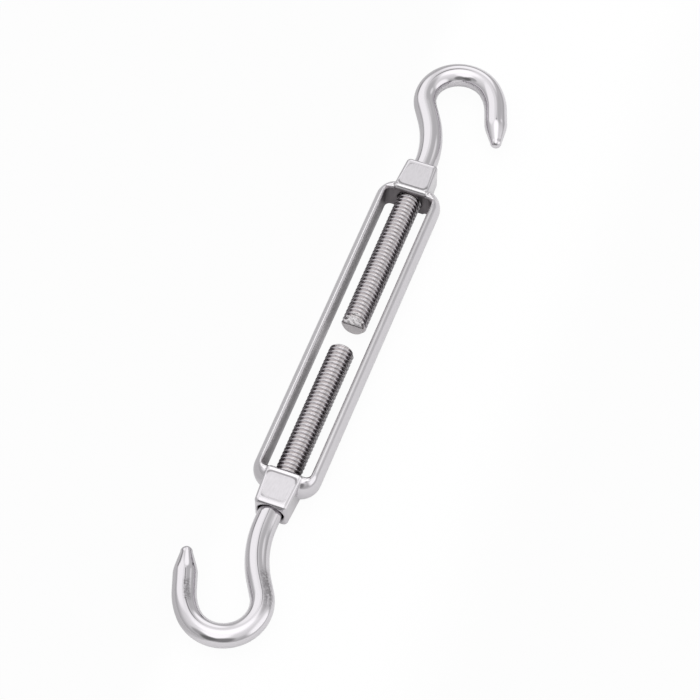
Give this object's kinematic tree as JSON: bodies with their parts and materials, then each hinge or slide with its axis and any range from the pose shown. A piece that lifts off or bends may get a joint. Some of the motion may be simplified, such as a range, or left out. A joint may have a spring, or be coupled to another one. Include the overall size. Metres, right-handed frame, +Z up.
{
  "type": "hook and hook turnbuckle",
  "caption": "Open-body turnbuckle with an open hook on a threaded rod at each end; turning the body draws the hooks together or lets them out.",
  "frame": {"origin": "on the floor under the middle of the frame's window, below the thread axis", "axes": "+X along the thread axis towards the left-hand hook, +Z up, square to the plane that both hooks and the window lie in"},
  "size_m": [0.1622, 0.029, 0.0083],
  "materials": {
    "cast_frame": "polished casting with satin flats on the bosses",
    "hook_bar": "bright polished bar with a rolled thread"
  },
  "bodies": {
    "frame": {"turnbuckle_frame": "cast_frame"},
    "left_screw": {"left_hand_hook": "hook_bar"},
    "right_screw": {"right_hand_hook": "hook_bar"}
  },
  "joints": [
    {"name": "left_screw_travel", "type": "slide", "parent": "frame", "child": "left_screw", "axis": [1, 0, 0], "range_m": [-0.003, 0.034]},
    {"name": "right_screw_travel", "type": "slide", "parent": "frame", "child": "right_screw", "axis": [-1, 0, 0], "range_m": [-0.003, 0.034]}
  ],
  "couplings": [
    {"joint": "right_screw_travel", "follows": "left_screw_travel", "ratio": 1}
  ]
}
